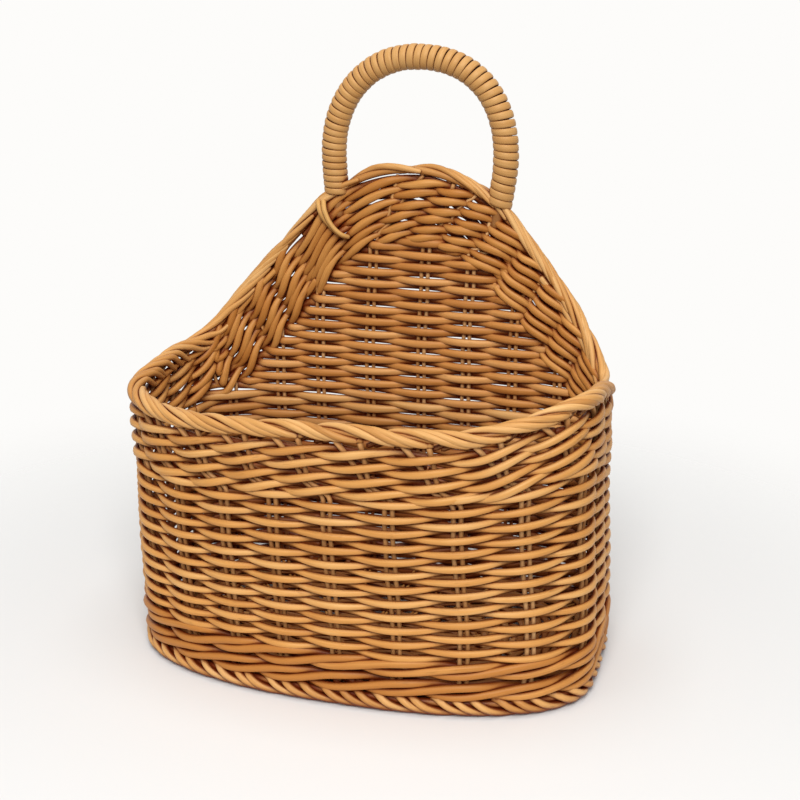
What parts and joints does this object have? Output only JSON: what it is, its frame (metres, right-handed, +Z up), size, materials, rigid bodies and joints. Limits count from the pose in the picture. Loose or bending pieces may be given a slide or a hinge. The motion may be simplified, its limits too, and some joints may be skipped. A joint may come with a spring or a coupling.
{
  "type": "woven wall basket",
  "caption": "Hand-woven wall basket with an oval open body, a high arched back panel and a wrapped hanging loop, holding small goods or flowers.",
  "frame": {"origin": "middle of the box that holds the whole basket, on the plane that the foot stands on", "axes": "+Z up, +X to the right seen from the front, +Y towards the wall that the basket hangs on"},
  "size_m": [0.1891, 0.1144, 0.2343],
  "materials": {
    "weaver": "honey-coloured round cane, satin",
    "back_weaver": "redder round cane, glossy where it catches light",
    "stake": "thin round cane rods, satin",
    "border": "twisted round cane, satin",
    "base": "round cane mat, dull",
    "wrap": "smooth wound cane, satin",
    "core": "bent cane core, dull"
  },
  "bodies": {
    "root": {"foot_border": "border", "base_mat": "base", "base_stick_1": "stake", "base_stick_2": "stake", "base_stick_3": "stake", "stake_01": "stake", "stake_02": "stake", "stake_03": "stake", "stake_04": "stake", "stake_05": "stake", "stake_06": "stake", "stake_07": "stake", "stake_08": "stake", "stake_09": "stake", "stake_10": "stake", "stake_11": "stake", "stake_12": "stake", "stake_13": "stake", "stake_14": "stake", "stake_15": "stake", "stake_16": "stake", "stake_17": "stake", "stake_18": "stake", "stake_19": "stake", "stake_20": "stake", "stake_21": "stake", "stake_22": "stake", "stake_23": "stake", "upset_wale": "weaver", "side_weaver_1": "weaver", "side_weaver_2": "weaver", "side_weaver_3": "weaver", "side_weaver_4": "weaver", "side_weaver_5": "weaver", "back_weaver": "back_weaver", "rim_wale": "weaver", "rim_border": "border", "handle_core": "core", "handle_wrap": "wrap", "handle_lashing": "wrap"}
  },
  "joints": []
}
